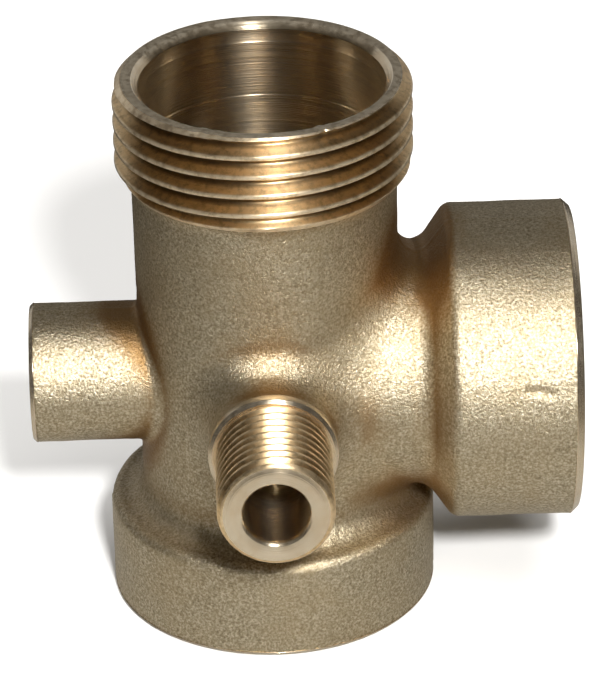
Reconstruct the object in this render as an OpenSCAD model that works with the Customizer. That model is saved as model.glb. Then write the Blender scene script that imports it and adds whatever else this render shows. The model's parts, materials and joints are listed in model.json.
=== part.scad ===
// Five-way brass pump connector.
// One casting, drawn as its regions, each a closed solid that meets its neighbours face to face.
// Origin at the centre of the bottom face, +Z up the barrel.
// The side socket points along +X, the gauge boss along -X and the switch nipple along -Y.
// All threads are right-hand parallel pipe threads with a 55 degree V form.

/* [Overall] */
// Height from the bottom face to the top lip
total_h = 64; // [62:0.5:72]
// Height of the axis of the three side ports above the bottom face
port_axis_h = 27.5; // [27.5:0.5:31]

/* [Barrel] */
// Outside diameter of the barrel
barrel_d = 29.6; // [29.4:0.1:29.8]
// Diameter of the passage through the barrel
passage_d = 25; // [23:0.5:26]

/* [Top thread] */
// Length of the full male thread below the lip
top_thread_len = 9.9; // [9.4:0.1:12]
// Height of the turned bevel below the thread
top_bevel_h = 1.5; // [1:0.1:2]
// Height of the cast flare between the barrel and the bevel
top_flare_h = 1.4; // [0.8:0.1:2]
// Distance from the lip to the middle of the first thread groove
top_first_groove = 1; // [0.9:0.05:1.2]
// Number of thread grooves
top_grooves = 4; // [3:1:4]
// Diameter of the machined bore inside the male end
top_bore_d = 27.2; // [26.4:0.1:27.4]
// Depth of that bore below the lip
top_bore_depth = 17; // [14:0.5:19]
// Width of the chamfer on the outside of the lip
lip_chamfer = 0.65; // [0.4:0.05:0.8]
// Width of the chamfer on the inside of the lip
lip_bore_chamfer = 0.8; // [0.3:0.1:0.9]

/* [Bottom socket] */
// Outside diameter of the ring round the bottom port
bottom_ring_d = 37.2; // [36.5:0.1:39]
// Height of the ring
bottom_ring_h = 12; // [11.8:0.1:12.4]
// Height of the sloping shoulder above the ring
bottom_shoulder_h = 1.5; // [1:0.1:1.5]
// Depth of the thread in the bottom port
bottom_thread_depth = 11.2; // [9:0.1:11.4]

/* [Side socket] */
// Outside diameter of the ring round the side port
side_ring_d = 36; // [35.8:0.1:37.6]
// Distance from the barrel's axis to the foot of the ring's sloping shoulder
side_foot_x = 17.4; // [17:0.1:17.6]
// Distance from the barrel's axis to the top of that shoulder
side_shoulder_x = 20.3; // [20:0.1:21]
// Distance from the barrel's axis to the end face
side_face_x = 34.5; // [34:0.1:38]
// Depth of the thread in the side port
side_thread_depth = 12; // [9:0.1:12]
// Outside diameter of the neck between the barrel and the ring
neck_d = 28; // [26:0.25:28]
// Diameter of the passage through the neck
neck_passage_d = 22; // [20:0.5:23]

/* [Gauge boss] */
// Outside diameter of the boss
gauge_boss_d = 16; // [15.5:0.25:18]
// Distance from the barrel's axis to the end face
gauge_face_x = 27; // [26:0.1:30]
// Depth of the thread in the boss
gauge_thread_depth = 10.5; // [8:0.1:11]
// Diameter of the drilled hole between the boss and the barrel
gauge_hole_d = 8; // [6:0.5:9]

/* [Switch nipple] */
// Outside diameter of the cast boss behind the nipple
switch_boss_d = 14; // [13.5:0.1:14.4]
// Distance from the barrel's axis to the joint between the boss and the collar
switch_joint_y = 19.4; // [18.5:0.1:20]
// Outside diameter of the turned collar
switch_collar_d = 14.4; // [14:0.1:15]
// Length of the collar along the nipple
switch_collar_len = 1.4; // [1:0.1:2]
// Distance from the barrel's axis to the end of the nipple
switch_tip_y = 33; // [32:0.1:35]
// Width of the chamfer at the end of the nipple
switch_tip_chamfer = 1; // [0.6:0.1:1.2]
// Distance from the end to the middle of the first thread groove
switch_first_groove = 1.7; // [1.5:0.1:2.2]
// Number of thread grooves
switch_grooves = 7; // [4:1:7]
// Diameter of the hole through the nipple
switch_hole_d = 6.6; // [6:0.1:8]

/* [Hidden] */

cast_brass = [0.69, 0.60, 0.40];
turned_brass = [0.80, 0.65, 0.40];
$fn = 96;

// Standard G1 pipe thread, on the top, bottom and side ports
large_major_d = 33.249;
large_minor_d = 30.291;
large_pitch = 2.309;
// Standard G1/4 pipe thread, on the gauge boss and the nipple
small_major_d = 13.157;
small_minor_d = 11.445;
small_pitch = 1.337;

// Half of the angle between the two flanks of the thread
flank_angle = 27.5;
// Extra length of every cutting tool past the face it cuts
over = 1;
// How far a groove's mouth lies past the surface that it cuts, as a share of the pitch
groove_over = 0.08;
// Least distance from the last groove's middle to the end of a female thread, in pitches
groove_rest = 0.3;
// How far the cast flare below the top thread widens
flare_width = 0.7;
// Width of the chamfer at the mouth of a female port
mouth_chamfer = 0.45;
// Radius of the soft cast edge on the rings
ring_edge_r = 1.1;
// Radius of the small edges at a machined end face
face_edge_r = 0.3;
// Width of the chamfer on the collar of the nipple
collar_chamfer = 0.3;
// Width of the chamfer at the mouth of the nipple's hole
switch_hole_chamfer = 0.35;

barrel_r = barrel_d / 2;
barrel_bottom_z = bottom_ring_h + bottom_shoulder_h;
barrel_top_z = total_h - top_thread_len - top_bevel_h;
// Radius where the turned bevel meets the cast flare
bevel_foot_r = barrel_r + flare_width;

// Grooves of a thread as closed rings round +Z, each with the thread's own section.
// They lie one pitch apart from z_first towards -Z, and count of them are cut.
module thread_rings(root_r, crest_r, pitch, z_first, count) {
    depth = abs(crest_r - root_r);
    flank = tan(flank_angle);
    // The flats at the root and at the crest are equally wide
    root_half = (pitch / 2 - depth * flank) / 2;
    past = root_r < crest_r ? groove_over * pitch : -groove_over * pitch;
    mouth_half = root_half + (depth + abs(past)) * flank;
    rotate_extrude()
        for (i = [0 : count - 1])
            translate([0, z_first - i * pitch])
                polygon([
                    [root_r, -root_half],
                    [crest_r + past, -mouth_half],
                    [crest_r + past, mouth_half],
                    [root_r, root_half]
                ]);
}

// Cutting tool for a female port that opens at z = 0 and runs down to z = -depth
module female_thread(minor_d, major_d, pitch, depth) {
    first = mouth_chamfer + pitch / 2;
    translate([0, 0, -depth])
        cylinder(d = minor_d, h = depth + over);
    translate([0, 0, -mouth_chamfer])
        cylinder(d1 = minor_d, d2 = minor_d + 2 * mouth_chamfer + 2 * over, h = mouth_chamfer + over);
    thread_rings(major_d / 2, minor_d / 2, pitch, -first, floor((depth - first) / pitch - groove_rest) + 1);
}

// Places its children on the port axis, turned so that their +Z points along +X
module toward_side() {
    translate([0, 0, port_axis_h])
        rotate([0, 90, 0])
            children();
}

// The same, with their +Z along -X
module toward_gauge() {
    translate([0, 0, port_axis_h])
        rotate([0, -90, 0])
            children();
}

// The same, with their +Z along -Y
module toward_switch() {
    translate([0, 0, port_axis_h])
        rotate([90, 0, 0])
            children();
}

// Solid of revolution of a ring with soft edges, from z = 0 to z = h
module soft_ring(r, h, edge_low, edge_high) {
    rotate_extrude()
        polygon(concat(
            [[0, 0]],
            edge_low > 0
                ? [for (a = [-90 : 18 : 0]) [r + edge_low * (cos(a) - 1), edge_low * (1 + sin(a))]]
                : [[r, 0]],
            [for (a = [0 : 18 : 90]) [r + edge_high * (cos(a) - 1), h + edge_high * (sin(a) - 1)]],
            [[0, h]]));
}

// Main tube, open at both ends and on three sides
module barrel() {
    color(cast_brass)
        difference() {
            union() {
                translate([0, 0, barrel_bottom_z])
                    cylinder(r = barrel_r, h = barrel_top_z - barrel_bottom_z);
                translate([0, 0, barrel_top_z - top_flare_h])
                    cylinder(r1 = barrel_r, r2 = bevel_foot_r, h = top_flare_h);
            }
            translate([0, 0, barrel_bottom_z - over])
                cylinder(d = passage_d, h = total_h);
            translate([0, 0, total_h - top_bore_depth])
                cylinder(d = top_bore_d, h = top_bore_depth);
            toward_side()
                cylinder(d = neck_passage_d, h = barrel_r + over);
            toward_gauge()
                cylinder(d = gauge_hole_d, h = barrel_r + over);
            toward_switch()
                cylinder(d = switch_hole_d, h = barrel_r + over);
        }
}

// Turned male end with its lip, bevel, thread and bore
module top_male_thread() {
    major_r = large_major_d / 2;
    color(turned_brass)
        difference() {
            rotate_extrude()
                polygon([
                    [top_bore_d / 2, barrel_top_z],
                    [bevel_foot_r, barrel_top_z],
                    [major_r, barrel_top_z + top_bevel_h],
                    [major_r, total_h - lip_chamfer],
                    [major_r - lip_chamfer, total_h],
                    [top_bore_d / 2 + lip_bore_chamfer, total_h],
                    [top_bore_d / 2, total_h - lip_bore_chamfer]
                ]);
            translate([0, 0, total_h])
                thread_rings(large_minor_d / 2, major_r, large_pitch, -top_first_groove, top_grooves);
        }
}

// Heavy ring with the bottom port and the sloping shoulder up to the barrel
module bottom_socket() {
    ring_r = bottom_ring_d / 2;
    color(cast_brass)
        difference() {
            union() {
                soft_ring(ring_r, bottom_ring_h, face_edge_r, ring_edge_r);
                translate([0, 0, bottom_ring_h])
                    cylinder(r1 = ring_r - ring_edge_r, r2 = barrel_r, h = bottom_shoulder_h);
            }
            rotate([180, 0, 0])
                female_thread(large_minor_d, large_major_d, large_pitch, bottom_thread_depth);
            cylinder(d = passage_d, h = total_h);
        }
}

// Short tube between the barrel and the side socket
module side_neck() {
    color(cast_brass)
        difference() {
            toward_side()
                cylinder(d = neck_d, h = side_foot_x);
            cylinder(r = barrel_r, h = total_h);
            toward_side()
                cylinder(d = neck_passage_d, h = side_face_x);
        }
}

// Heavy ring with the side port
module side_socket() {
    color(cast_brass)
        difference() {
            toward_side()
                union() {
                    translate([0, 0, side_foot_x])
                        cylinder(d1 = neck_d, d2 = side_ring_d, h = side_shoulder_x - side_foot_x);
                    translate([0, 0, side_shoulder_x])
                        soft_ring(side_ring_d / 2, side_face_x - side_shoulder_x, 0, ring_edge_r);
                }
            toward_side()
                translate([0, 0, side_face_x])
                    female_thread(large_minor_d, large_major_d, large_pitch, side_thread_depth);
            toward_side()
                cylinder(d = neck_passage_d, h = side_face_x);
        }
}

// Small boss with the gauge port
module gauge_boss() {
    color(cast_brass)
        difference() {
            toward_gauge()
                soft_ring(gauge_boss_d / 2, gauge_face_x, face_edge_r, face_edge_r);
            cylinder(r = barrel_r, h = total_h);
            toward_gauge()
                translate([0, 0, gauge_face_x])
                    female_thread(small_minor_d, small_major_d, small_pitch, gauge_thread_depth);
            toward_gauge()
                cylinder(d = gauge_hole_d, h = gauge_face_x);
        }
}

// Cast swelling between the barrel and the nipple
module switch_boss() {
    color(cast_brass)
        difference() {
            toward_switch()
                cylinder(d = switch_boss_d, h = switch_joint_y);
            cylinder(r = barrel_r, h = total_h);
            toward_switch()
                cylinder(d = switch_hole_d, h = switch_tip_y);
        }
}

// Turned nipple with collar, male thread and hole
module switch_nipple() {
    major_r = small_major_d / 2;
    hole_r = switch_hole_d / 2;
    collar_r = switch_collar_d / 2;
    collar_end = switch_joint_y + switch_collar_len;
    color(turned_brass)
        difference() {
            toward_switch()
                rotate_extrude()
                    polygon([
                        [hole_r, switch_joint_y],
                        [collar_r, switch_joint_y],
                        [collar_r, collar_end - collar_chamfer],
                        [collar_r - collar_chamfer, collar_end],
                        [major_r, collar_end],
                        [major_r, switch_tip_y - switch_tip_chamfer],
                        [major_r - switch_tip_chamfer, switch_tip_y],
                        [hole_r + switch_hole_chamfer, switch_tip_y],
                        [hole_r, switch_tip_y - switch_hole_chamfer]
                    ]);
            toward_switch()
                thread_rings(small_minor_d / 2, major_r, small_pitch, switch_tip_y - switch_first_groove,
                             switch_grooves);
        }
}

barrel();
top_male_thread();
bottom_socket();
side_neck();
side_socket();
gauge_boss();
switch_boss();
switch_nipple();
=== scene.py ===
"""Looks of a five-way brass pump connector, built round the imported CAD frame.

The casting is one mesh polygonised from a distance function, so that its tubes flow into each other
in cast fillets. The turned ends are meshes of revolution with true helical threads.
Shapes are worked out in millimetres and scaled to metres when a mesh is made.
"""
import json
import math

import bpy
import numpy as np
import openvdb
from mathutils import Matrix, Vector


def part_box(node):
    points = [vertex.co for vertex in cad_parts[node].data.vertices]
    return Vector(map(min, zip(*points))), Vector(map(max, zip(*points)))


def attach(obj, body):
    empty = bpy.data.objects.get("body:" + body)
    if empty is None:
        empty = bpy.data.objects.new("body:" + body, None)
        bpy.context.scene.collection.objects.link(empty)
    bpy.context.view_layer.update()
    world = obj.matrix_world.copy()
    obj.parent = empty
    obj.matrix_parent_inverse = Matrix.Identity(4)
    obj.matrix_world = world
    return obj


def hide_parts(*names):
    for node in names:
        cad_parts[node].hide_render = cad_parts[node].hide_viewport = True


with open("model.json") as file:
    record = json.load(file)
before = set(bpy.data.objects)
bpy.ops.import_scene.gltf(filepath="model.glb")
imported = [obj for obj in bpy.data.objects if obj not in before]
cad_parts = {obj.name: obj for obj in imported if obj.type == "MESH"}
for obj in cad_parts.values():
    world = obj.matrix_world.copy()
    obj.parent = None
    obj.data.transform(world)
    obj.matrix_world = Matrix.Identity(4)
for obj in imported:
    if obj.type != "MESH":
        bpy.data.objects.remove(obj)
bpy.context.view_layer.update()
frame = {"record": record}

MM = 0.001


# ---------------------------------------------------------------- sizes taken from the frame

def corners(node):
    """Lowest and highest corner of a CAD node, in millimetres."""
    low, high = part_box(node)
    return np.array(low) / MM, np.array(high) / MM


def mount_radius(name):
    """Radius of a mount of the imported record, in millimetres."""
    mount = next(m for m in frame["record"]["mounts"] if m["name"] == name)
    return mount["dims"]["r_mm"]


thread_low, thread_high = corners("top_male_thread")
ring_low, ring_high = corners("bottom_socket")
neck_low, neck_high = corners("side_neck")
socket_low, socket_high = corners("side_socket")
gauge_low, gauge_high = corners("gauge_boss")
boss_low, boss_high = corners("switch_boss")
nipple_low, nipple_high = corners("switch_nipple")

# Outer tubes; the barrel is flared just under its thread
PORT_Z = (socket_low[2] + socket_high[2]) / 2
BARREL_TOP = thread_low[2]
LIP_Z = thread_high[2]
BARREL_R = 14.8
FLARE_H = 1.4
FLARE = 0.7
RING_R = ring_high[0]
RING_H = 12.0
SOCKET_R = (socket_high[2] - socket_low[2]) / 2
SOCKET_FOOT_X = socket_low[0]
SOCKET_SHOULDER_X = 20.3
SOCKET_FACE_X = socket_high[0]
NECK_R = (neck_high[2] - neck_low[2]) / 2
GAUGE_R = gauge_high[1]
GAUGE_FACE_X = gauge_low[0]
BOSS_R = boss_high[0]
BOSS_END_Y = boss_low[1]
COLLAR_R = nipple_high[0]
TIP_Y = nipple_low[1]

# Concave fillets where the tubes meet, and rounded outer edges
NECK_FILLET = 3.0
RING_FILLET = 2.6
SOCKET_FILLET = 0.9
GAUGE_FILLET = 0.8
BOSS_FILLET = 3.6
RING_EDGE = 1.3
SOCKET_EDGE = 0.7
BOSS_EDGE = 0.3
# How far the neck and the socket run into each other
OVERLAP = 1.0

# Parting line, ground down to a low rounded ridge
PARTING_HEIGHT = 0.11
PARTING_WIDTH = 0.32

# Bore of the male end, which runs on into the casting, and the passages inside it
BORE_R = 13.6
BORE_DEPTH = 17.0
PASSAGE_R = 12.5
NECK_PASSAGE_R = 11.0
GAUGE_HOLE_R = 4.0
SWITCH_HOLE_R = 3.3

# Pipe threads with 55 degree flanks
LARGE_MAJOR_R = mount_radius("top_port")
LARGE_MINOR_R = mount_radius("bottom_port")
LARGE_PITCH = 2.309
SMALL_MAJOR_R = mount_radius("switch_port")
SMALL_MINOR_R = mount_radius("gauge_port")
SMALL_PITCH = 1.337

# Machined ends of the female ports: width of the chamfer round the face, and depth of the thread
SIDE_RIM = 0.8
BOTTOM_RIM = 0.5
GAUGE_RIM = 0.4
SIDE_DEPTH = 12.0
BOTTOM_DEPTH = 11.2
GAUGE_DEPTH = 10.5
# Metal left round the threads and the bore of the turned pieces, which sit in the casting
WALL = 0.2


# ---------------------------------------------------------------- the casting

def union_round(a, b, radius):
    """Union of two distances with a concave fillet of that radius between them."""
    inner = np.sqrt(np.maximum(radius - a, 0) ** 2 + np.maximum(radius - b, 0) ** 2)
    return np.maximum(radius, np.minimum(a, b)) - inner


def cut_round(a, b, radius):
    """Intersection of two distances with a convex edge of that radius."""
    return -union_round(-a, -b, radius)


def bar(radial, along, radius, low, high, edge):
    """Round bar with its edges rounded by the radius edge, from low to high along its axis."""
    middle = (low + high) / 2
    half = (high - low) / 2
    out_radial = radial - (radius - edge)
    out_along = np.abs(along - middle) - (half - edge)
    outside = np.sqrt(np.maximum(out_radial, 0) ** 2 + np.maximum(out_along, 0) ** 2)
    return outside + np.minimum(np.maximum(out_radial, out_along), 0) - edge


def cone_side(radial, along, start, end):
    """Distance from the line through two (along, radius) points, positive on the far side of it."""
    run = end[0] - start[0]
    rise = end[1] - start[1]
    return ((radial - start[1]) * run - (along - start[0]) * rise) / math.hypot(run, rise)


def unevenness(x, y, z, seed, amplitude, wave):
    """Slow waves of the casting's skin, between 0 and the amplitude."""
    rng = np.random.default_rng(seed)
    total = np.zeros_like(x)
    count = 7
    for _ in range(count):
        direction = rng.normal(size=3)
        direction *= 2 * math.pi / (wave * rng.uniform(0.7, 1.6) * np.linalg.norm(direction))
        phase = rng.uniform(0, 2 * math.pi)
        total += np.sin(direction[0] * x + direction[1] * y + direction[2] * z + phase)
    return amplitude * (0.5 + total / (2 * count))


def dents(x, y, z):
    """Small pits and knocks: (position, radius, depth) each. A negative depth is a raised fleck."""
    socket_middle = (SOCKET_SHOULDER_X + SOCKET_FACE_X) / 2
    marks = []
    for step, tilt in ((-0.3, 0.29), (0.9, 0.29), (2.1, 0.27)):
        marks.append((on_socket(socket_middle + 1.2 + step, tilt), 0.45, 0.35))
    marks.append((on_socket(socket_middle - 2.0, -0.62), 0.5, -0.18))
    marks.append((on_socket(SOCKET_FACE_X - 2.6, 1.50), 0.6, -0.15))
    marks.append((on_upright(RING_R, 7.4, 4.6), 0.5, -0.16))
    marks.append((on_upright(RING_R, -9.0, 7.2), 0.6, 0.2))
    marks.append((on_upright(BARREL_R, 4.0, 44.0), 0.5, 0.15))
    total = np.zeros_like(x)
    for centre, radius, depth in marks:
        square = (x - centre[0]) ** 2 + (y - centre[1]) ** 2 + (z - centre[2]) ** 2
        total += depth * np.exp(-square / radius ** 2)
    return total


def on_socket(x, tilt):
    """Point on the side socket's ring, tilt radians above the front."""
    return np.array([x, -SOCKET_R * math.cos(tilt), PORT_Z + SOCKET_R * math.sin(tilt)])


def on_upright(radius, x, z):
    """Point on the front of an upright tube of that radius."""
    return np.array([x, -math.sqrt(radius ** 2 - x ** 2), z])


def casting_distance(x, y, z):
    """Signed distance to the casting's surface, negative in the metal."""
    up = z - PORT_Z
    r_barrel = np.hypot(x, y)
    r_side = np.hypot(y, up)
    r_front = np.hypot(x, up)

    # Outer tubes, with the barrel's flare and its ring at the bottom
    flare = FLARE * np.clip((z - BARREL_TOP + FLARE_H) / FLARE_H, 0, 1) ** 2
    barrel = r_barrel - BARREL_R - flare
    ring = bar(r_barrel, z, RING_R, -RING_H, RING_H, RING_EDGE)
    neck_half = SOCKET_FOOT_X / 2 + OVERLAP
    neck = np.maximum(r_side - NECK_R, np.abs(x - neck_half) - neck_half)
    slope = cone_side(r_side, x, (SOCKET_FOOT_X, NECK_R), (SOCKET_SHOULDER_X, SOCKET_R))
    socket = cut_round(r_side - SOCKET_R, slope, SOCKET_EDGE)
    socket = np.maximum(socket, SOCKET_FOOT_X - OVERLAP - x)
    gauge = np.maximum(r_side - GAUGE_R, x)
    boss = bar(r_front, y, BOSS_R, BOSS_END_Y, -BOSS_END_Y, BOSS_EDGE)
    boss = np.maximum(boss, y)

    # The fillets between them
    skin = union_round(barrel, neck, NECK_FILLET)
    skin = union_round(skin, ring, RING_FILLET)
    skin = union_round(skin, socket, SOCKET_FILLET)
    skin = union_round(skin, gauge, GAUGE_FILLET)
    skin = union_round(skin, boss, BOSS_FILLET)

    # The skin is never quite even, and a ground-down parting line runs round it
    skin += unevenness(x, y, z, seed=5, amplitude=0.16, wave=9.0)
    skin += unevenness(x, y, z, seed=11, amplitude=0.07, wave=2.6)
    skin -= PARTING_HEIGHT * np.exp(-(y / PARTING_WIDTH) ** 2)
    skin += dents(x, y, z)

    # Flat ends, where the machined faces begin
    skin = np.maximum(skin, z - BARREL_TOP)
    skin = np.maximum(skin, BOTTOM_RIM - z)
    skin = np.maximum(skin, x - SOCKET_FACE_X + SIDE_RIM)
    skin = np.maximum(skin, GAUGE_FACE_X + GAUGE_RIM - x)

    # Passages, wider at the top where the bore runs in, and the seats of the threaded ports
    bore = np.maximum(r_barrel - BORE_R - WALL, LIP_Z - BORE_DEPTH - z)
    hollow = np.minimum(r_barrel - PASSAGE_R, bore)
    hollow = np.minimum(hollow, np.maximum(r_side - NECK_PASSAGE_R, -x))
    hollow = np.minimum(hollow, np.maximum(r_side - GAUGE_HOLE_R, x))
    hollow = np.minimum(hollow, np.maximum(r_front - SWITCH_HOLE_R, y))
    seat = LARGE_MAJOR_R + WALL
    hollow = np.minimum(hollow, np.maximum(r_barrel - seat, z - BOTTOM_DEPTH - WALL))
    hollow = np.minimum(hollow, np.maximum(r_side - seat, SOCKET_FACE_X - SIDE_DEPTH - WALL - x))
    small_seat = SMALL_MAJOR_R + WALL
    hollow = np.minimum(hollow, np.maximum(r_side - small_seat, x - GAUGE_FACE_X - GAUGE_DEPTH - WALL))
    return np.maximum(skin, -hollow)


def make_casting():
    """The casting as one closed mesh, polygonised from its distance function."""
    voxel = 0.34
    margin = 3 * voxel
    low = np.array([GAUGE_FACE_X, BOSS_END_Y, ring_low[2]]) - margin
    high = np.array([SOCKET_FACE_X, ring_high[1], BARREL_TOP]) + margin
    counts = np.ceil((high - low) / voxel).astype(int)
    axes = [low[i] + voxel * np.arange(counts[i]) for i in range(3)]
    x, y, z = np.meshgrid(*axes, indexing="ij")
    grid = openvdb.FloatGrid(3 * voxel)
    grid.copyFromArray(casting_distance(x, y, z).astype(np.float32))
    points, _, quads = grid.convertToPolygons(0.0)
    points = low + voxel * np.asarray(points, float)
    # Two steps down the slope bring each point onto the true surface
    for _ in range(2):
        slope = slope_at(points)
        steepness = np.maximum((slope ** 2).sum(axis=1), 0.25)
        move = -casting_distance(*points.T) / steepness
        points = points + np.clip(move, -voxel / 2, voxel / 2)[:, None] * slope
    piece = mesh_object("casting", points, np.asarray(quads))
    # Depth in the hollows, which the material turns into painted shade, partly oxide
    keep_value(piece, "oxide_and_shade_recess", oxide_and_shade_recess_at(points))
    return piece


def slope_at(points):
    """Slope of the casting's distance at each point."""
    gap = 0.05
    x, y, z = points.T
    return np.stack([
        casting_distance(x + gap, y, z) - casting_distance(x - gap, y, z),
        casting_distance(x, y + gap, z) - casting_distance(x, y - gap, z),
        casting_distance(x, y, z + gap) - casting_distance(x, y, z - gap),
    ], axis=1) / (2 * gap)


def oxide_and_shade_recess_at(points):
    """How far each point lies in a hollow, from 0 in the open to 1 deep between two tubes.

    The value is held low on the bottom ring and rises above it. It sets the painted shade in the
    hollows, partly oxide kept there.
    """
    reaches = (2.0, 5.0, 9.0)
    rise_height = 5.0
    ring_share = 0.15
    slope = slope_at(points)
    outward = slope / np.maximum(np.linalg.norm(slope, axis=1), 0.2)[:, None]
    total = np.zeros(len(points))
    for reach in reaches:
        seen = casting_distance(*(points + reach * outward).T) / reach
        total += 1 - np.clip(seen, 0, 1)
    rise = np.clip((points[:, 2] - RING_H) / rise_height, ring_share, 1)
    return rise * total / len(reaches)


# Faces that meet more steeply than this keep a hard edge between them, in degrees
SHARP_ANGLE = 38


def mesh_object(name, points_mm, faces):
    """New object from points in millimetres, linked to the scene and smooth between its sharp edges."""
    mesh = bpy.data.meshes.new(name)
    mesh.from_pydata((np.asarray(points_mm) * MM).tolist(), [], np.asarray(faces).tolist())
    mesh.validate()
    mesh.shade_smooth()
    mesh.set_sharp_from_angle(angle=math.radians(SHARP_ANGLE))
    piece = bpy.data.objects.new(name, mesh)
    bpy.context.scene.collection.objects.link(piece)
    return piece


def keep_value(piece, name, values):
    """Stores a number for each point of the mesh, for its material to read."""
    attribute = piece.data.attributes.new(name, "FLOAT", "POINT")
    attribute.data.foreach_set("value", np.asarray(values, np.float32))


# ---------------------------------------------------------------- turned pieces

# Points round one turn, and the angle of each
TURNS = 288
ANGLES = np.arange(TURNS) * 2 * math.pi / TURNS
# The thread form: half of the angle between its flanks, then its depth and the radius of
# its crests and roots as shares of the pitch
HALF_ANGLE = math.radians(27.5)
THREAD_DEPTH = 0.640327
THREAD_ROUND = 0.137329


def whitworth_drop(phase, pitch):
    """Depth below the crest of a thread with round crests and roots; the phase is 0 at the crest."""
    round_r = THREAD_ROUND * pitch
    tangent = round_r * math.cos(HALF_ANGLE)
    slope = 1 / math.tan(HALF_ANGLE)
    depth = THREAD_DEPTH * pitch
    away = np.abs((phase + 0.5) % 1.0 - 0.5) * pitch
    mirrored = away > pitch / 4
    near = np.where(mirrored, pitch / 2 - away, away)
    arc = round_r - np.sqrt(np.maximum(round_r ** 2 - np.minimum(near, tangent) ** 2, 0))
    drop = arc + np.maximum(near - tangent, 0) * slope
    return np.where(mirrored, depth - drop, drop)


def thread_rows(z_from, z_to, crest_r, pitch, first_crest, envelope, male, step):
    """Rows (radius round the turn, z, share of the depth) of a right-hand helical thread.

    The envelope gives the turned blank's radius at a height, and the thread never passes it.
    """
    count = max(2, round(abs(z_to - z_from) / step))
    rows = []
    for z in np.linspace(z_from, z_to, count + 1):
        phase = (z - first_crest) / pitch - ANGLES / (2 * math.pi)
        drop = whitworth_drop(phase, pitch)
        if male:
            radius = np.minimum(crest_r - drop, envelope(z))
            depth = envelope(z) - radius
        else:
            radius = np.maximum(crest_r + drop, envelope(z))
            depth = radius - envelope(z)
        rows.append((radius, z, depth / (THREAD_DEPTH * pitch)))
    return rows


def line_rows(points, edge):
    """Rows along a polyline of (radius, z), with the corners between rounded off by the length edge."""
    steps = 3
    longest_share = 0.45
    rows = [points[0]]
    for before, corner, after in zip(points, points[1:], points[2:]):
        to_before = np.subtract(before, corner)
        to_after = np.subtract(after, corner)
        length_before = np.linalg.norm(to_before)
        length_after = np.linalg.norm(to_after)
        reach = min(edge, longest_share * length_before, longest_share * length_after)
        start = corner + to_before * reach / length_before
        end = corner + to_after * reach / length_after
        for t in np.linspace(0, 1, steps + 1):
            rows.append(tuple((1 - t) ** 2 * start + 2 * t * (1 - t) * np.array(corner) + t ** 2 * end))
    rows.append(points[-1])
    return rows


def revolve(name, rows, placing, worn_from, wear, knocks=()):
    """Closed mesh swept round +Z through rows of (radius, z, ...); the last row joins the first again.

    The rows run down the outside and up the inside, so that its faces look outward.
    Beyond the radius worn_from, plain faces and the thread's crests are rubbed dull and pale,
    by the share wear. Knocks are small marks (angle in radians, z, radius, depth) on the rows.
    """
    crest_share = 0.14
    radius = np.array([np.broadcast_to(row[0], TURNS) for row in rows])
    height = np.array([np.full(TURNS, row[1]) for row in rows])
    groove = np.array([np.broadcast_to(row[2] if len(row) > 2 else 0.0, TURNS) for row in rows])
    threaded = np.repeat([len(row) > 2 for row in rows], TURNS)
    worn = wear * np.clip(1 - groove / crest_share, 0, 1) * (radius > worn_from)
    for angle, z, size, depth in knocks:
        across = ((ANGLES - angle + math.pi) % (2 * math.pi) - math.pi) * radius
        radius = radius - depth * np.exp(-(across ** 2 + (height - z) ** 2) / size ** 2)
    points = np.stack([radius * np.cos(ANGLES), radius * np.sin(ANGLES), height], axis=2)
    row = np.arange(len(rows))[:, None]
    turn = np.arange(TURNS)[None, :]
    next_row = (row + 1) % len(rows)
    next_turn = (turn + 1) % TURNS
    faces = np.stack([
        row * TURNS + turn,
        next_row * TURNS + turn,
        next_row * TURNS + next_turn,
        row * TURNS + next_turn,
    ], axis=2).reshape(-1, 4)
    piece = mesh_object(name, points.reshape(-1, 3), faces)
    keep_value(piece, "groove", groove.ravel())
    keep_value(piece, "threaded", threaded)
    keep_value(piece, "worn", worn.ravel())
    piece.matrix_world = placing
    return piece


def facing(origin_mm, direction):
    """Placing whose local +Z points along the direction, with its origin there."""
    turn = Vector(direction).to_track_quat("Z", "Y").to_matrix().to_4x4()
    return Matrix.Translation(Vector(origin_mm) * MM) @ turn


def make_top_thread():
    """Turned male end, in its own frame with the lip at z = 0 and the barrel below."""
    foot = BARREL_TOP - LIP_Z
    bevel = 1.5
    bevel_foot_r = BARREL_R + FLARE
    lip_chamfer = 1.0
    mouth = 0.8
    first_crest = -1.45
    row_step = 0.075

    def envelope(z):
        at_lip = LARGE_MAJOR_R - lip_chamfer - z
        at_foot = bevel_foot_r + (z - foot) * (LARGE_MAJOR_R - bevel_foot_r) / bevel
        at_crest = LARGE_MAJOR_R - 0.04
        return min(at_lip, at_foot, at_crest)

    outside = thread_rows(
        -0.02, foot + 0.02, LARGE_MAJOR_R, LARGE_PITCH, first_crest, envelope, True, row_step)
    face = line_rows([
        (BORE_R + 0.06, -mouth),
        (BORE_R + mouth, -0.02),
        (LARGE_MAJOR_R - lip_chamfer - 0.15, 0.0),
    ], 0.1)
    inside = line_rows([
        (bevel_foot_r - 0.1, foot),
        (BORE_R + WALL, foot),
        (BORE_R + WALL, -BORE_DEPTH),
        (BORE_R - 0.6, -BORE_DEPTH),
        (BORE_R, -BORE_DEPTH + 0.6),
        # Two faint steps where the boring tool was set again
        (BORE_R, -9.0),
        (BORE_R + 0.04, -8.9),
        (BORE_R + 0.04, -2.4),
        (BORE_R + 0.1, -2.25),
    ], 0.05)
    front = -math.pi / 2
    knocks = [
        (front - 0.46, -0.10, 0.5, 0.30),
        (front - 0.36, -0.25, 0.7, 0.22),
        (front + 0.42, -0.15, 0.45, 0.34),
        (front + 0.50, -0.35, 0.35, 0.25),
        (front - 0.75, -4.2, 0.4, 0.2),
        (front + 0.9, -5.6, 0.5, 0.22),
    ]
    rows = inside + face + outside
    placing = Matrix.Translation((0, 0, LIP_Z * MM))
    return revolve("top_thread", rows, placing, worn_from=BORE_R + 0.5, wear=1.0, knocks=knocks)


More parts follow.
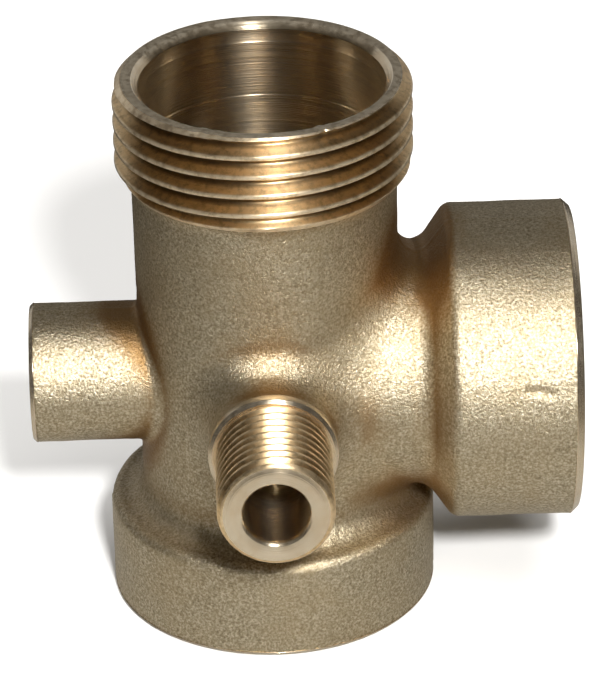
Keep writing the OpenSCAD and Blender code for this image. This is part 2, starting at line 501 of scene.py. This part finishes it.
def make_nipple():
    """Turned nipple with its collar, in its own frame with the tip at z = 0."""
    foot = TIP_Y - BOSS_END_Y
    collar = 1.4
    tip_r = 5.7
    hole_r = SWITCH_HOLE_R + 0.25
    passage_r = SWITCH_HOLE_R + 0.1
    first_crest = -1.9
    row_step = 0.06
    # The tip is rounded over, and the crests are rubbed down
    tip_edge = 0.12
    tip_rise = 0.75
    rubbed_off = 0.16

    def envelope(z):
        at_tip = tip_r + tip_edge + tip_rise * math.sqrt(max(0.0, -z - tip_edge))
        return min(at_tip, SMALL_MAJOR_R - rubbed_off)

    outside = thread_rows(
        -tip_edge, foot + collar, SMALL_MAJOR_R, SMALL_PITCH, first_crest, envelope, True, row_step)
    face = line_rows([
        (hole_r, -6.0),
        (hole_r, -0.5),
        (hole_r + 0.3, -0.05),
        (tip_r - 0.5, 0.0),
        (tip_r + 0.1, -tip_edge),
    ], 0.25)
    back = line_rows([
        (COLLAR_R - 0.4, foot + collar),
        (COLLAR_R, foot + collar - 0.35),
        (COLLAR_R, foot + 0.02),
        (COLLAR_R - 0.5, foot - 0.25),
        (passage_r, foot - 0.25),
        (passage_r, -6.4),
    ], 0.12)
    rows = face + outside + back
    placing = facing((0, TIP_Y, PORT_Z), (0, -1, 0))
    return revolve("nipple", rows, placing, worn_from=hole_r + 0.15, wear=0.4)


def make_port(name, outer_r, rim, minor_r, major_r, pitch, depth, floor_r, placing):
    """Machined female port, in its own frame with the face at z = 0 and the hole below.

    It holds the rim's chamfer, the end face, the thread and the floor, and sits in the casting.
    """
    seat = major_r + WALL
    mouth_r = major_r + 0.25
    mouth_depth = mouth_r - minor_r - 0.05
    first_crest = -1.6
    row_step = 0.085

    def envelope(z):
        return minor_r + max(0.0, z + mouth_depth)

    thread = thread_rows(
        -0.06, -depth, minor_r, pitch, first_crest, envelope, False, row_step)
    shell = line_rows([
        (floor_r, -depth),
        (floor_r, -depth - WALL),
        (seat, -depth - WALL),
        (seat, -rim - 0.1),
        (outer_r - 0.06, -rim - 0.1),
        (outer_r - 0.06, -rim),
        (outer_r - rim, 0.0),
        (mouth_r, 0.0),
    ], 0.12)
    rows = shell + thread
    return revolve(name, rows[::-1], placing, worn_from=seat + 0.1, wear=0.5)


# ---------------------------------------------------------------- materials

def node_of(tree, kind, **settings):
    """New node of that kind with those settings on its properties."""
    node = tree.nodes.new(kind)
    for key, value in settings.items():
        setattr(node, key, value)
    return node


def noise(tree, vector, scale, detail, roughness=0.5):
    """Noise value between 0 and 1 at that scale."""
    node = node_of(tree, "ShaderNodeTexNoise")
    node.inputs["Scale"].default_value = scale
    node.inputs["Detail"].default_value = detail
    node.inputs["Roughness"].default_value = roughness
    tree.links.new(vector, node.inputs["Vector"])
    return node.outputs["Fac"]


def ramp(tree, value, stops):
    """Colour ramp over a value, through (position, colour) stops."""
    node = node_of(tree, "ShaderNodeValToRGB")
    elements = node.color_ramp.elements
    while len(elements) < len(stops):
        elements.new(0.5)
    for element, (position, colour) in zip(elements, stops):
        element.position = position
        element.color = (*colour, 1.0)
    tree.links.new(value, node.inputs["Fac"])
    return node.outputs["Color"]


def span(tree, value, low, high, to_low, to_high):
    """Value moved from one range to another, and kept inside it."""
    node = node_of(tree, "ShaderNodeMapRange")
    for name, number in (("From Min", low), ("From Max", high), ("To Min", to_low), ("To Max", to_high)):
        node.inputs[name].default_value = number
    tree.links.new(value, node.inputs["Value"])
    return node.outputs["Result"]


def product(tree, first, second):
    """Two values multiplied."""
    node = node_of(tree, "ShaderNodeMath", operation="MULTIPLY")
    tree.links.new(first, node.inputs[0])
    tree.links.new(second, node.inputs[1])
    return node.outputs["Value"]


def stored(tree, name):
    """Value kept on the mesh under that name."""
    return node_of(tree, "ShaderNodeAttribute", attribute_name=name).outputs["Fac"]


def mixed(tree, factor, first, second):
    """Two colours mixed by a factor."""
    node = node_of(tree, "ShaderNodeMix", data_type="RGBA")
    # A mix node's colour sockets come after those for numbers and vectors
    for socket, value in ((node.inputs[0], factor), (node.inputs[6], first), (node.inputs[7], second)):
        if isinstance(value, bpy.types.NodeSocket):
            tree.links.new(value, socket)
        elif isinstance(value, tuple):
            socket.default_value = (*value, 1.0)
        else:
            socket.default_value = value
    return node.outputs[2]


def bumped(tree, height, strength, distance, normal=None):
    """Normal bumped by a height, over an earlier normal if there is one."""
    node = node_of(tree, "ShaderNodeBump")
    node.inputs["Strength"].default_value = strength
    node.inputs["Distance"].default_value = distance
    tree.links.new(height, node.inputs["Height"])
    if normal is not None:
        tree.links.new(normal, node.inputs["Normal"])
    return node.outputs["Normal"]


def new_material(name):
    """Material with a fresh Principled shader, and its node tree and shader."""
    material = bpy.data.materials.new(name)
    material.use_nodes = True
    tree = material.node_tree
    return material, tree, tree.nodes["Principled BSDF"]


def cast_brass():
    """Shot-blasted casting skin: round grains, dull and speckled, with a browner hue in random patches,
    and painted shade, partly oxide, in the hollows between the tubes.
    """
    material, tree, shader = new_material("cast_brass")
    pit = (0.225, 0.178, 0.108)
    skin = (0.465, 0.392, 0.265)
    grain_top = (0.78, 0.715, 0.57)
    warm_skin = (0.46, 0.345, 0.19)
    oxide_and_shade_brown = (0.34, 0.205, 0.08)
    deep_oxide_and_shade_brown = (0.22, 0.12, 0.04)

    place = node_of(tree, "ShaderNodeTexCoord").outputs["Object"]
    oxide_and_shade_recess = stored(tree, "oxide_and_shade_recess")
    grain = noise(tree, place, 3300, 3.0, 0.75)
    fine = noise(tree, place, 8000, 1.0)
    patch = noise(tree, place, 130, 3.0, 0.6)

    colour = ramp(tree, grain, [(0.32, pit), (0.50, skin), (0.68, grain_top)])
    colour = mixed(tree, span(tree, patch, 0.42, 0.68, 0.0, 0.3), colour, warm_skin)
    # The hollows between the tubes are painted browner and darker: partly oxide and dirt kept there,
    # partly painted shade
    colour = mixed(tree, span(tree, oxide_and_shade_recess, 0.03, 0.25, 0.0, 0.65), colour, oxide_and_shade_brown)
    colour = mixed(tree, span(tree, oxide_and_shade_recess, 0.10, 0.30, 0.0, 0.75), colour, deep_oxide_and_shade_brown)
    tree.links.new(colour, shader.inputs["Base Color"])

    tree.links.new(span(tree, grain, 0.35, 0.65, 0.46, 0.30), shader.inputs["Roughness"])
    normal = bumped(tree, grain, 0.62, 0.00020)
    normal = bumped(tree, fine, 0.45, 0.00007, normal)
    tree.links.new(normal, shader.inputs["Normal"])
    shader.inputs["Metallic"].default_value = 0.95
    return material


def ring_place(tree, place):
    """Distance from the piece's axis and height along it, as a place for marks that run round it."""
    split = node_of(tree, "ShaderNodeSeparateXYZ")
    tree.links.new(place, split.inputs["Vector"])
    flat = node_of(tree, "ShaderNodeCombineXYZ")
    tree.links.new(split.outputs["X"], flat.inputs["X"])
    tree.links.new(split.outputs["Y"], flat.inputs["Y"])
    length = node_of(tree, "ShaderNodeVectorMath", operation="LENGTH")
    tree.links.new(flat.outputs["Vector"], length.inputs[0])
    ringed = node_of(tree, "ShaderNodeCombineXYZ")
    tree.links.new(length.outputs["Value"], ringed.inputs["X"])
    tree.links.new(split.outputs["Z"], ringed.inputs["Y"])
    return ringed.outputs["Vector"]


def turned_brass():
    """Bright brass from the lathe: rings round the piece's own axis, stains, worn crests, and thread
    roots darkened partly by dirt, partly by painted shade.
    """
    material, tree, shader = new_material("turned_brass")
    thread_metal = (0.86, 0.63, 0.345)
    plain_metal = (0.67, 0.58, 0.44)
    tarnish = (0.50, 0.31, 0.13)
    fresh_cut = (0.90, 0.72, 0.46)
    groove_dirt_and_shade = (0.10, 0.055, 0.022)
    soil = (0.17, 0.12, 0.07)
    rubbed_metal = (0.78, 0.71, 0.58)
    polish = 0.20
    thread_rough = 0.13

    place = node_of(tree, "ShaderNodeTexCoord").outputs["Object"]
    ringed = ring_place(tree, place)
    rings = noise(tree, ringed, 5200, 2.0, 0.6)
    rough_rings = noise(tree, ringed, 1500, 2.0, 0.6)
    stain = noise(tree, place, 260, 4.0, 0.6)
    pitting = noise(tree, place, 3000, 2.0)
    dirt = noise(tree, place, 1300, 4.0, 0.7)
    groove = stored(tree, "groove")
    threaded = stored(tree, "threaded")
    worn = stored(tree, "worn")

    colour = mixed(tree, threaded, plain_metal, thread_metal)
    colour = mixed(tree, span(tree, stain, 0.42, 0.66, 0.0, 0.35), colour, tarnish)
    colour = mixed(tree, span(tree, rough_rings, 0.35, 0.65, 0.0, 0.3), colour, fresh_cut)
    # Thread roots are painted darker with their depth: partly dirt, partly painted shade under the
    # crests
    colour = mixed(tree, span(tree, groove, 0.6, 1.0, 0.0, 0.85), colour, groove_dirt_and_shade)
    soiled = product(tree, span(tree, dirt, 0.46, 0.68, 0.0, 0.45), threaded)
    colour = mixed(tree, soiled, colour, soil)
    rubbed = product(tree, worn, span(tree, dirt, 0.38, 0.60, 1.25, 0.5))
    colour = mixed(tree, span(tree, rubbed, 0.0, 1.0, 0.0, 0.55), colour, rubbed_metal)
    tree.links.new(colour, shader.inputs["Base Color"])
    tree.links.new(span(tree, rubbed, 0.0, 1.0, 1.0, 0.88), shader.inputs["Metallic"])

    rough = node_of(tree, "ShaderNodeMath", operation="ADD")
    tree.links.new(span(tree, stain, 0.35, 0.7, polish, polish + 0.06), rough.inputs[0])
    tree.links.new(span(tree, threaded, 0.0, 1.0, 0.0, thread_rough), rough.inputs[1])
    tree.links.new(rough.outputs["Value"], shader.inputs["Roughness"])
    normal = bumped(tree, rings, 0.45, 0.00006)
    normal = bumped(tree, rough_rings, 0.30, 0.00012, normal)
    normal = bumped(tree, pitting, 0.06, 0.00008, normal)
    tree.links.new(normal, shader.inputs["Normal"])
    # The tool marks run round the axis, so a highlight is drawn out along it
    tangent = node_of(tree, "ShaderNodeTangent", direction_type="RADIAL", axis="Z")
    tree.links.new(tangent.outputs["Tangent"], shader.inputs["Tangent"])
    shader.inputs["Anisotropic"].default_value = 0.8
    shader.inputs["Anisotropic Rotation"].default_value = 0.25
    return material


# ---------------------------------------------------------------- stage, lights and camera

def make_stage():
    """Plain pale floor. Its reflection in the metal is painted, fading dark away from the object."""
    half = 3.0
    fade_centre = (0.0, -0.03, 0.0)
    fade_end = 0.20
    mesh = bpy.data.meshes.new("floor")
    corners_m = [(-half, -half, 0), (half, -half, 0), (half, half, 0), (-half, half, 0)]
    mesh.from_pydata(corners_m, [], [(0, 1, 2, 3)])
    floor = bpy.data.objects.new("floor", mesh)
    bpy.context.scene.collection.objects.link(floor)
    material, tree, shader = new_material("floor_paper")
    path = node_of(tree, "ShaderNodeLightPath")
    place = node_of(tree, "ShaderNodeTexCoord").outputs["Object"]
    away = node_of(tree, "ShaderNodeVectorMath", operation="DISTANCE")
    away.inputs[1].default_value = fade_centre
    tree.links.new(place, away.inputs[0])
    # Painted reflection: the floor's colour in glossy rays, brighter near the object and darker further
    # off
    seen = ramp(tree, span(tree, away.outputs["Value"], 0.0, fade_end, 0.0, 1.0), [
        (0.22, (0.31, 0.30, 0.28)),
        (0.32, (0.28, 0.265, 0.235)),
        (0.48, (0.095, 0.085, 0.069)),
        (1.0, (0.02, 0.017, 0.014)),
    ])
    shade = mixed(tree, path.outputs["Is Glossy Ray"], (0.90, 0.90, 0.90), seen)
    tree.links.new(shade, shader.inputs["Base Color"])
    shader.inputs["Roughness"].default_value = 0.9
    shader.inputs["Specular IOR Level"].default_value = 0.1
    mesh.materials.append(material)


def make_world():
    """Pale to the camera, dim and warm to the metal, a little lighter overhead."""
    world = bpy.data.worlds.new("room")
    bpy.context.scene.world = world
    world.use_nodes = True
    tree = world.node_tree
    tree.nodes.clear()
    output = node_of(tree, "ShaderNodeOutputWorld")
    place = node_of(tree, "ShaderNodeTexCoord").outputs["Generated"]
    split = node_of(tree, "ShaderNodeSeparateXYZ")
    tree.links.new(place, split.inputs["Vector"])
    shade = ramp(tree, span(tree, split.outputs["Z"], -1.0, 1.0, 0.0, 1.0), [
        (0.0, (0.02, 0.017, 0.013)),
        (0.5, (0.035, 0.029, 0.022)),
        (1.0, (0.05, 0.042, 0.032)),
    ])
    dim = node_of(tree, "ShaderNodeBackground")
    tree.links.new(shade, dim.inputs["Color"])
    pale = node_of(tree, "ShaderNodeBackground")
    pale.inputs["Color"].default_value = (0.93, 0.93, 0.93, 1.0)
    path = node_of(tree, "ShaderNodeLightPath")
    mix = node_of(tree, "ShaderNodeMixShader")
    tree.links.new(path.outputs["Is Camera Ray"], mix.inputs["Fac"])
    tree.links.new(dim.outputs["Background"], mix.inputs[1])
    tree.links.new(pale.outputs["Background"], mix.inputs[2])
    tree.links.new(mix.outputs["Shader"], output.inputs["Surface"])


def direction_of(azimuth, elevation):
    """Unit vector towards a viewer or a light; azimuth 0 is the front."""
    a = math.radians(azimuth)
    e = math.radians(elevation)
    return Vector((math.sin(a) * math.cos(e), -math.cos(a) * math.cos(e), math.sin(e)))


# What the lights and the camera look at, in metres: a point on the axis, 30 mm below the lip
AIM = Vector((0, 0, (LIP_Z - 30) * MM))


def add_light(name, azimuth, elevation, distance, size, power, shines=True):
    """Round soft light that looks at the middle of the object, in metres and watts.

    A light that doesn't shine isn't mirrored in the metal, so it lights little but the floor.
    """
    data = bpy.data.lights.new(name, "AREA")
    data.shape = "DISK"
    data.size = size
    data.energy = power
    data.color = (1.0, 0.99, 0.97)
    light = bpy.data.objects.new(name, data)
    back = direction_of(azimuth, elevation)
    light.location = AIM + back * distance
    light.visible_glossy = shines
    light.rotation_euler = (-back).to_track_quat("-Z", "Y").to_euler()
    bpy.context.scene.collection.objects.link(light)


def add_camera():
    """Long lens a little above the front, as the object was seen."""
    azimuth = -1.08
    elevation = 28.95
    roll = math.radians(1.30)
    distance = 0.486
    lens_mm = 229.56677
    slide_right = -3.345 * MM
    slide_up = 2.512 * MM

    back = direction_of(azimuth, elevation)
    right = Vector((math.cos(math.radians(azimuth)), math.sin(math.radians(azimuth)), 0))
    up = back.cross(right)
    turned_right = right * math.cos(roll) - up * math.sin(roll)
    turned_up = right * math.sin(roll) + up * math.cos(roll)

    data = bpy.data.cameras.new("camera")
    data.sensor_width = 36
    data.lens = lens_mm
    data.clip_start = 0.01
    camera = bpy.data.objects.new("camera", data)
    place = AIM + back * distance - turned_right * slide_right - turned_up * slide_up
    turn = Matrix((turned_right, turned_up, back)).transposed().to_4x4()
    camera.matrix_world = Matrix.Translation(place) @ turn
    bpy.context.scene.collection.objects.link(camera)
    bpy.context.scene.camera = camera


# ---------------------------------------------------------------- assembly

def finish_piece(piece, slot, material, *nodes):
    """The piece rides with the casting, takes its finish, and stands for those CAD nodes."""
    piece.data.materials.append(material)
    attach(piece, "root")
    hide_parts(*nodes)


cast = cast_brass()
bright = turned_brass()

finish_piece(make_casting(), "cast_brass", cast, "barrel", "bottom_socket", "side_neck",
             "side_socket", "gauge_boss", "switch_boss")
finish_piece(make_top_thread(), "turned_brass", bright, "top_male_thread")
finish_piece(make_nipple(), "turned_brass", bright, "switch_nipple")

side_port = make_port("side_port", SOCKET_R, SIDE_RIM, LARGE_MINOR_R, LARGE_MAJOR_R, LARGE_PITCH,
                      SIDE_DEPTH, NECK_PASSAGE_R, facing((SOCKET_FACE_X, 0, PORT_Z), (1, 0, 0)))
bottom_port = make_port("bottom_port", RING_R, BOTTOM_RIM, LARGE_MINOR_R, LARGE_MAJOR_R, LARGE_PITCH,
                        BOTTOM_DEPTH, PASSAGE_R, facing((0, 0, 0), (0, 0, -1)))
gauge_port = make_port("gauge_port", GAUGE_R, GAUGE_RIM, SMALL_MINOR_R, SMALL_MAJOR_R, SMALL_PITCH,
                       GAUGE_DEPTH, GAUGE_HOLE_R, facing((GAUGE_FACE_X, 0, PORT_Z), (-1, 0, 0)))
finish_piece(side_port, "turned_brass", bright)
finish_piece(bottom_port, "turned_brass", bright)
finish_piece(gauge_port, "turned_brass", bright)

make_stage()
make_world()
add_light("key", azimuth=8.0, elevation=36.0, distance=0.60, size=0.07, power=5.8)
add_light("back_left", azimuth=145.0, elevation=5.0, distance=0.60, size=0.60, power=0.35)
add_light("back_right", azimuth=215.0, elevation=5.0, distance=0.60, size=0.60, power=0.35)
add_light("floor_fill", azimuth=0.0, elevation=80.0, distance=1.6, size=1.8, power=29.0, shines=False)
add_camera()

bpy.context.scene.view_settings.view_transform = "Standard"
bpy.context.scene.view_settings.look = "None"
